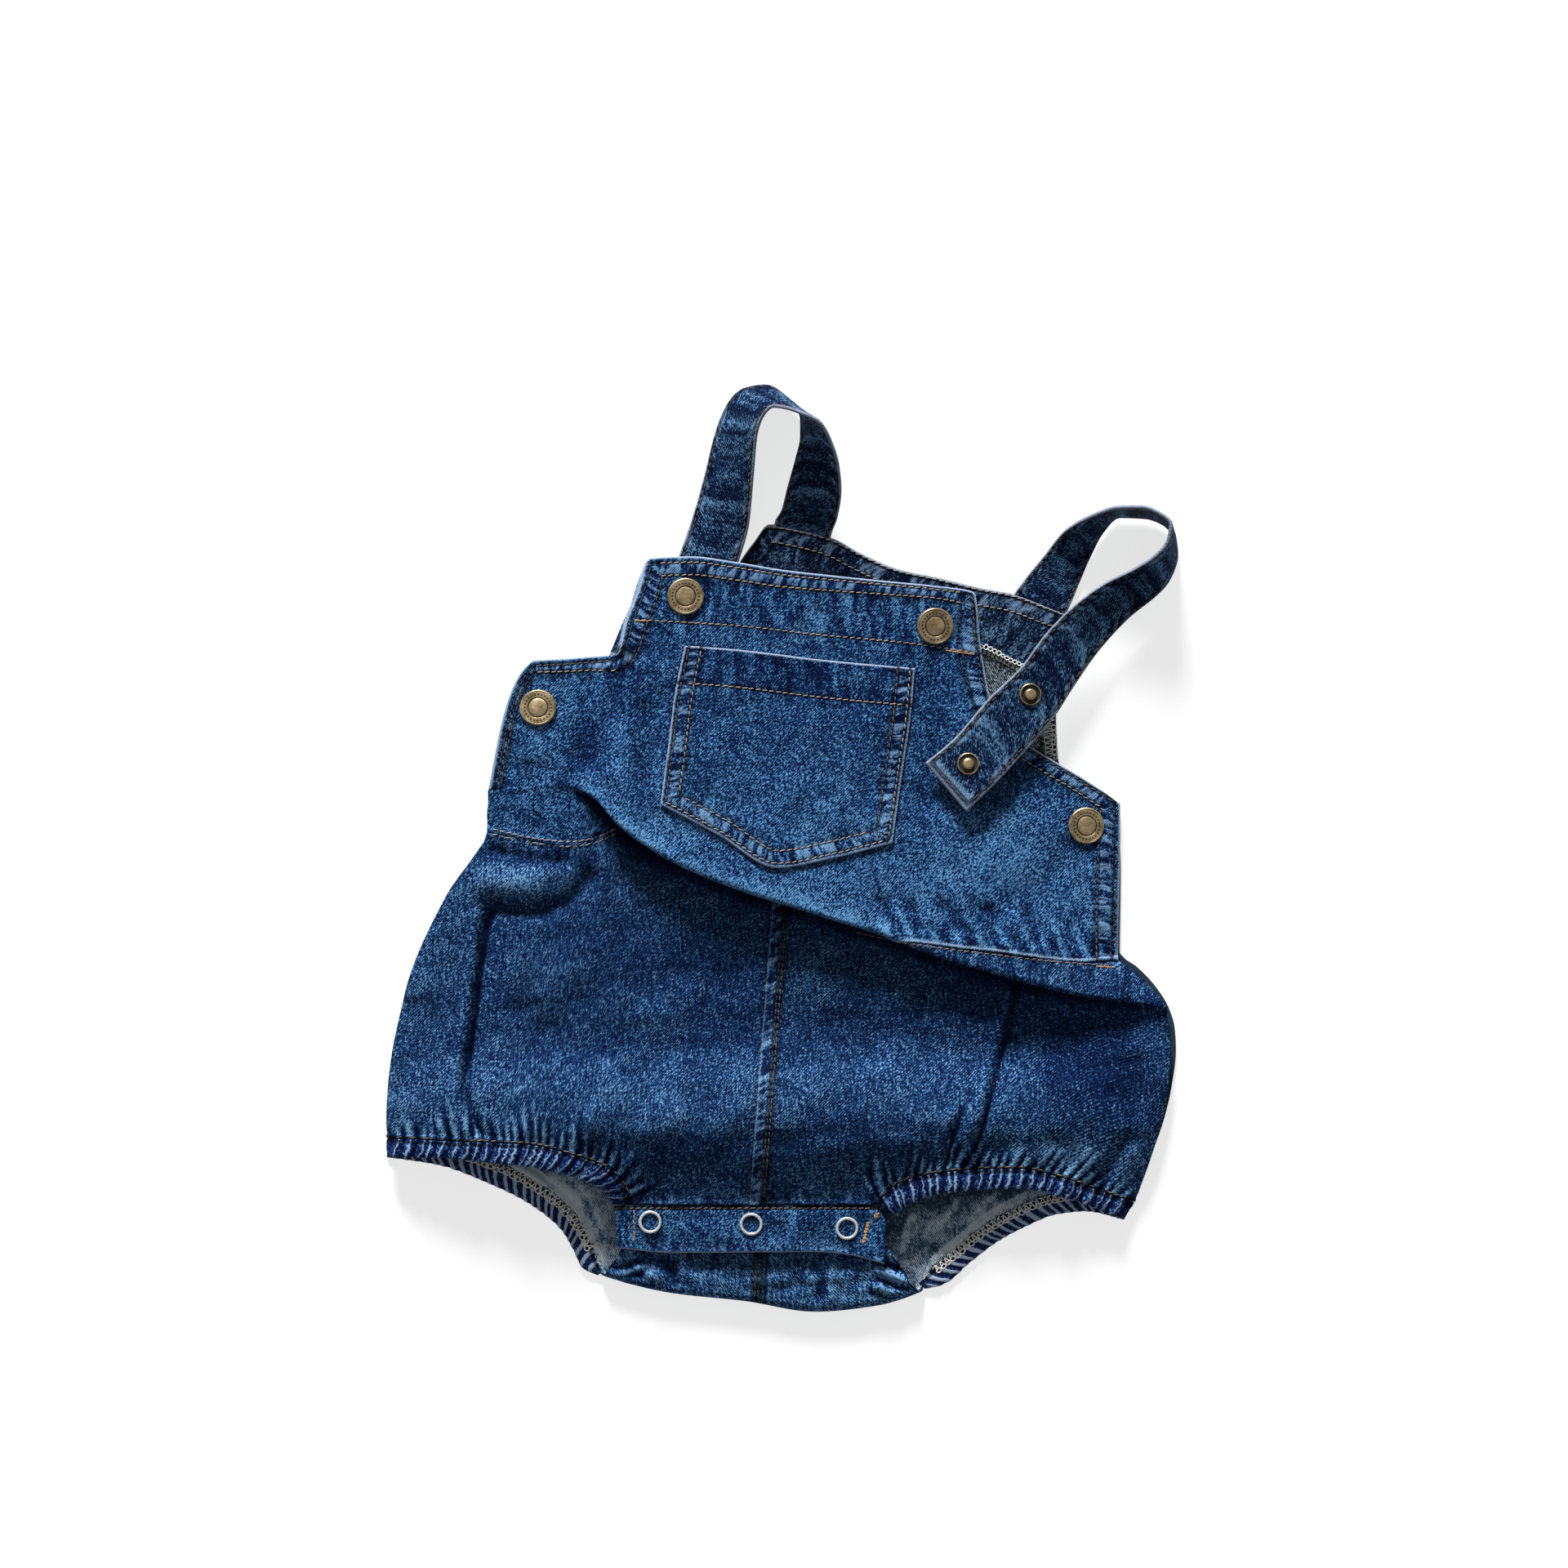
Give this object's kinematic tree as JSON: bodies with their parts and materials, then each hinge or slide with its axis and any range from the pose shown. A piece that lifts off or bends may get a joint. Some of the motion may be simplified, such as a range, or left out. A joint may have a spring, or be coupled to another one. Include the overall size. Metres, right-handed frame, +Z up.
{
  "type": "baby romper",
  "caption": "Denim dungaree romper for a baby, laid flat face up: bib with patch pocket, side wings, straps with snaps, bubble shorts with gathered leg holes and a snap crotch",
  "frame": {"origin": "middle of the laid-out outline, on the floor it rests on", "axes": "+X is the garment's right as seen from above with the neck away from the viewer, +Y points to the neck, +Z up out of the front of the garment"},
  "size_m": [0.3292, 0.3856, 0.0254],
  "materials": {
    "denim_outside": "stonewashed indigo twill, matt",
    "denim_inside": "grey-blue weft side of the twill, matt",
    "antique_brass": "antiqued, soft sheen",
    "nickel": "bright nickel"
  },
  "bodies": {
    "root": {"front_bodice": "denim_outside", "front_bloomer_left": "denim_outside", "front_bloomer_right": "denim_outside", "bib_pocket": "denim_outside", "front_crotch_band": "denim_outside", "leg_casing_front_left": "denim_outside", "leg_casing_front_right": "denim_outside", "leg_casing_back_left": "denim_outside", "leg_casing_back_right": "denim_outside", "strap_left": "denim_outside", "strap_right": "denim_outside", "back_facing": "denim_outside", "back_bodice": "denim_inside", "back_bloomer_left": "denim_inside", "back_bloomer_right": "denim_inside", "bib_snap_cap_left": "antique_brass", "bib_snap_cap_right": "antique_brass", "side_snap_cap_left": "antique_brass", "side_snap_cap_right": "antique_brass", "strap_stud_upper": "antique_brass", "strap_stud_lower": "antique_brass", "crotch_ring_left": "nickel", "crotch_ring_middle": "nickel", "crotch_ring_right": "nickel"}
  },
  "joints": []
}
